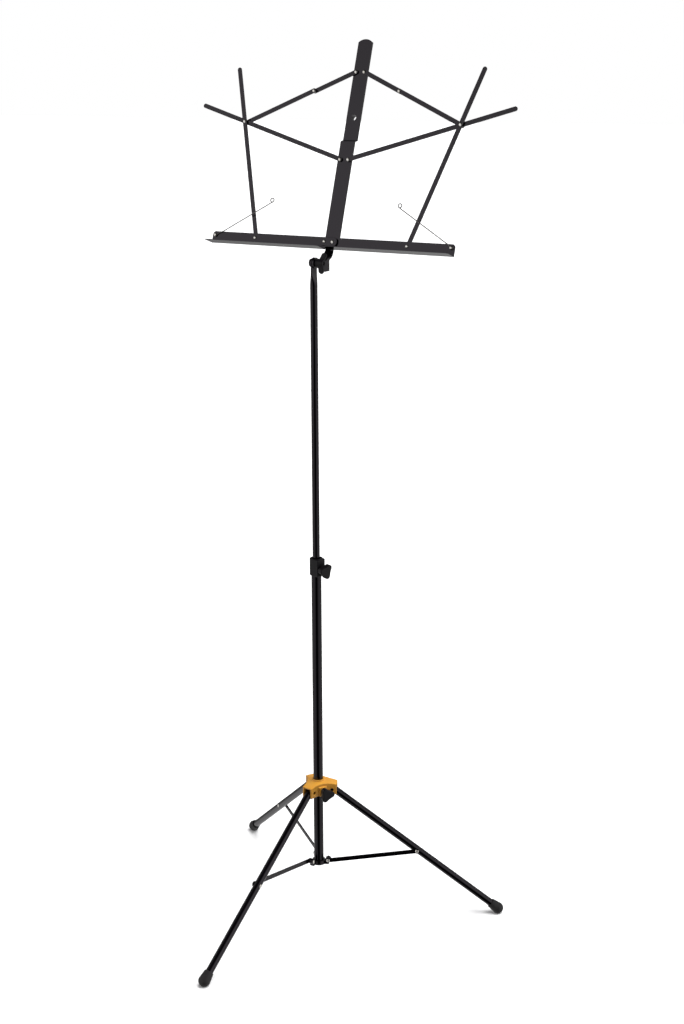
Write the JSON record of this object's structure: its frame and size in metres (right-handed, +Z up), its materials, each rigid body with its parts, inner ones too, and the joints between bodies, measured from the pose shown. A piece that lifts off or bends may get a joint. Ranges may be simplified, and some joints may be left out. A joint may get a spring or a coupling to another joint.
{
  "type": "folding music stand",
  "caption": "Folding sheet music stand: tripod with braces, telescoping mast and a tilting desk of pivoted flat bars with page trays and page wires.",
  "frame": {"origin": "middle of the bounding box's footprint, on the floor", "axes": "+Z up along the mast, -Y towards the reader, +X to the reader's right"},
  "size_m": [0.6432, 0.5694, 1.6199],
  "materials": {
    "black_paint": "satin",
    "black_plastic": "matte",
    "hub_plastic": "satin",
    "nickel": "polished",
    "rubber": "matte",
    "steel": "brushed"
  },
  "bodies": {
    "base": {"lower_tube": "black_paint", "tube_plug": "black_plastic", "height_collar": "black_plastic", "bottom_bracket": "black_paint", "bracket_rivets": "nickel"},
    "collar_clamp": {"collar_screw": "steel", "collar_knob": "black_plastic"},
    "hub": {"hub": "hub_plastic", "hub_pins": "black_paint"},
    "hub_clamp": {"hub_screw": "steel", "hub_knob": "black_plastic"},
    "liner": {"collar_liner": "black_plastic"},
    "mast": {"upper_tube": "black_paint", "guide_bush": "black_plastic", "tilt_bolt": "black_paint"},
    "tilt_knob": {"tilt_knob": "black_plastic"},
    "desk": {"tilt_bracket": "black_paint", "spine": "black_paint", "spine_eyelet": "black_paint", "spine_rivets": "nickel", "centre_plate": "black_paint", "centre_rivets": "nickel", "tray_spacers": "black_paint"},
    "leg_front": {"leg_tube_front": "black_paint", "leg_rivet_front": "nickel", "foot_front": "rubber"},
    "brace_front": {"brace_front": "black_paint", "brace_stud_front": "nickel"},
    "leg_right": {"leg_tube_right": "black_paint", "leg_rivet_right": "nickel", "foot_right": "rubber"},
    "brace_right": {"brace_right": "black_paint", "brace_stud_right": "nickel"},
    "leg_left": {"leg_tube_left": "black_paint", "leg_rivet_left": "nickel", "foot_left": "rubber"},
    "brace_left": {"brace_left": "black_paint", "brace_stud_left": "nickel"},
    "tray_left": {"tray_left": "black_paint", "tray_rivets_left": "nickel"},
    "upright_bar_left": {"upright_bar_left": "black_paint", "upright_stud_left": "nickel"},
    "cross_bar_left": {"cross_bar_left": "black_paint"},
    "inner_link_left": {"inner_link_left": "black_paint", "knee_rivet_left": "nickel"},
    "outer_link_left": {"outer_link_left": "black_paint", "link_stud_left": "nickel"},
    "page_wire_left": {"page_wire_left": "steel"},
    "tray_right": {"tray_right": "black_paint", "tray_rivets_right": "nickel"},
    "upright_bar_right": {"upright_bar_right": "black_paint", "upright_stud_right": "nickel"},
    "cross_bar_right": {"cross_bar_right": "black_paint"},
    "inner_link_right": {"inner_link_right": "black_paint", "knee_rivet_right": "nickel"},
    "outer_link_right": {"outer_link_right": "black_paint", "link_stud_right": "nickel"},
    "page_wire_right": {"page_wire_right": "steel"}
  },
  "joints": [
    {"name": "hub_slide", "type": "slide", "parent": "base", "child": "hub", "axis": [0, 0, 1], "range_m": [0, 0.22646]},
    {"name": "hub_clamp_turn", "type": "hinge", "parent": "hub", "child": "hub_clamp", "pos_m": [-0.00545, 0.07036, 0.251], "axis": [0.809, -0.5878, 0], "range_deg": [0, 270]},
    {"name": "collar_clamp_turn", "type": "hinge", "parent": "base", "child": "collar_clamp", "pos_m": [-0.00545, 0.07036, 0.688], "axis": [0.9397, -0.342, 0], "range_deg": [0, 270]},
    {"name": "mast_swivel", "type": "hinge", "parent": "base", "child": "liner", "pos_m": [-0.00545, 0.07036, 0.708], "axis": [0, 0, 1], "continuous": true},
    {"name": "height_slide", "type": "slide", "parent": "liner", "child": "mast", "axis": [0, 0, 1], "range_m": [-0.34, 0.03]},
    {"name": "desk_tilt", "type": "hinge", "parent": "mast", "child": "desk", "pos_m": [-0.00545, 0.07036, 1.245], "axis": [-1, 0, 0], "range_deg": [-19, 35]},
    {"name": "tilt_knob_turn", "type": "hinge", "parent": "mast", "child": "tilt_knob", "pos_m": [-0.00545, 0.07036, 1.245], "axis": [1, 0, 0], "range_deg": [0, 270]},
    {"name": "leg_front_fold", "type": "hinge", "parent": "hub", "child": "leg_front", "pos_m": [-0.00828, 0.04351, 0.25], "axis": [0.9945, -0.1045, 0], "range_deg": [0, 51.52]},
    {"name": "brace_front_fold", "type": "hinge", "parent": "base", "child": "brace_front", "pos_m": [-0.00739, 0.05197, 0.1], "axis": [-0.9945, 0.1045, 0], "range_deg": [0, 76.35]},
    {"name": "leg_right_fold", "type": "hinge", "parent": "hub", "child": "leg_right", "pos_m": [0.01921, 0.08135, 0.25], "axis": [-0.4067, 0.9135, 0], "range_deg": [0, 51.52]},
    {"name": "brace_right_fold", "type": "hinge", "parent": "base", "child": "brace_right", "pos_m": [0.01145, 0.07789, 0.1], "axis": [0.4067, -0.9135, 0], "range_deg": [0, 76.35]},
    {"name": "leg_left_fold", "type": "hinge", "parent": "hub", "child": "leg_left", "pos_m": [-0.0273, 0.08624, 0.25], "axis": [-0.5878, -0.809, 0], "range_deg": [0, 51.52]},
    {"name": "brace_left_fold", "type": "hinge", "parent": "base", "child": "brace_left", "pos_m": [-0.02042, 0.08124, 0.1], "axis": [0.5878, 0.809, 0], "range_deg": [0, 76.35]},
    {"name": "tray_left_fold", "type": "hinge", "parent": "desk", "child": "tray_left", "pos_m": [-0.01371, 0.12483, 1.2758], "axis": [0, 0.9455, -0.3256], "range_deg": [0, 90]},
    {"name": "upright_bar_left_fold", "type": "hinge", "parent": "tray_left", "child": "upright_bar_left", "pos_m": [-0.15921, 0.12862, 1.2745], "axis": [0, 0.9455, -0.3256], "range_deg": [-73.34, 0]},
    {"name": "cross_bar_left_fold", "type": "hinge", "parent": "desk", "child": "cross_bar_left", "pos_m": [-0.01371, 0.18104, 1.41509], "axis": [0, 0.9455, -0.3256], "range_deg": [0, 72.91]},
    {"name": "inner_link_left_fold", "type": "hinge", "parent": "desk", "child": "inner_link_left", "pos_m": [-0.01371, 0.2407, 1.56377], "axis": [0, 0.9455, -0.3256], "range_deg": [-65.56, 0]},
    {"name": "outer_link_left_fold", "type": "hinge", "parent": "inner_link_left", "child": "outer_link_left", "pos_m": [-0.09152, 0.22539, 1.5316], "axis": [0, 0.9455, -0.3256], "range_deg": [0, 180.02]},
    {"name": "page_wire_left_swing", "type": "hinge", "parent": "tray_left", "child": "page_wire_left", "pos_m": [-0.24396, 0.12529, 1.27712], "axis": [0, -0.9455, 0.3256], "range_deg": [-26, 150]},
    {"name": "tray_right_fold", "type": "hinge", "parent": "desk", "child": "tray_right", "pos_m": [0.0028, 0.12635, 1.27528], "axis": [0, -0.9455, 0.3256], "range_deg": [0, 90]},
    {"name": "upright_bar_right_fold", "type": "hinge", "parent": "tray_right", "child": "upright_bar_right", "pos_m": [0.1483, 0.12862, 1.2745], "axis": [0, -0.9455, 0.3256], "range_deg": [-73.34, 0]},
    {"name": "cross_bar_right_fold", "type": "hinge", "parent": "desk", "child": "cross_bar_right", "pos_m": [0.0028, 0.18104, 1.41509], "axis": [0, -0.9455, 0.3256], "range_deg": [0, 72.91]},
    {"name": "inner_link_right_fold", "type": "hinge", "parent": "desk", "child": "inner_link_right", "pos_m": [0.0028, 0.2407, 1.56377], "axis": [0, -0.9455, 0.3256], "range_deg": [-65.56, 0]},
    {"name": "outer_link_right_fold", "type": "hinge", "parent": "inner_link_right", "child": "outer_link_right", "pos_m": [0.08061, 0.22539, 1.5316], "axis": [0, -0.9455, 0.3256], "range_deg": [0, 180.02]},
    {"name": "page_wire_right_swing", "type": "hinge", "parent": "tray_right", "child": "page_wire_right", "pos_m": [0.23305, 0.1268, 1.2766], "axis": [0, 0.9455, -0.3256], "range_deg": [-26, 150]}
  ],
  "couplings": [
    {"joint": "leg_front_fold", "follows": "hub_slide", "rad_per_m": 3.969},
    {"joint": "brace_front_fold", "follows": "hub_slide", "rad_per_m": 5.8829},
    {"joint": "leg_right_fold", "follows": "hub_slide", "rad_per_m": 3.969},
    {"joint": "brace_right_fold", "follows": "hub_slide", "rad_per_m": 5.8829},
    {"joint": "leg_left_fold", "follows": "hub_slide", "rad_per_m": 3.969},
    {"joint": "brace_left_fold", "follows": "hub_slide", "rad_per_m": 5.8829},
    {"joint": "upright_bar_left_fold", "follows": "tray_left_fold", "ratio": -0.81469},
    {"joint": "cross_bar_left_fold", "follows": "tray_left_fold", "ratio": 0.80989},
    {"joint": "inner_link_left_fold", "follows": "tray_left_fold", "ratio": -0.72823},
    {"joint": "outer_link_left_fold", "follows": "tray_left_fold", "ratio": 2},
    {"joint": "upright_bar_right_fold", "follows": "tray_right_fold", "ratio": -0.81469},
    {"joint": "cross_bar_right_fold", "follows": "tray_right_fold", "ratio": 0.80989},
    {"joint": "inner_link_right_fold", "follows": "tray_right_fold", "ratio": -0.72823},
    {"joint": "outer_link_right_fold", "follows": "tray_right_fold", "ratio": 2}
  ]
}
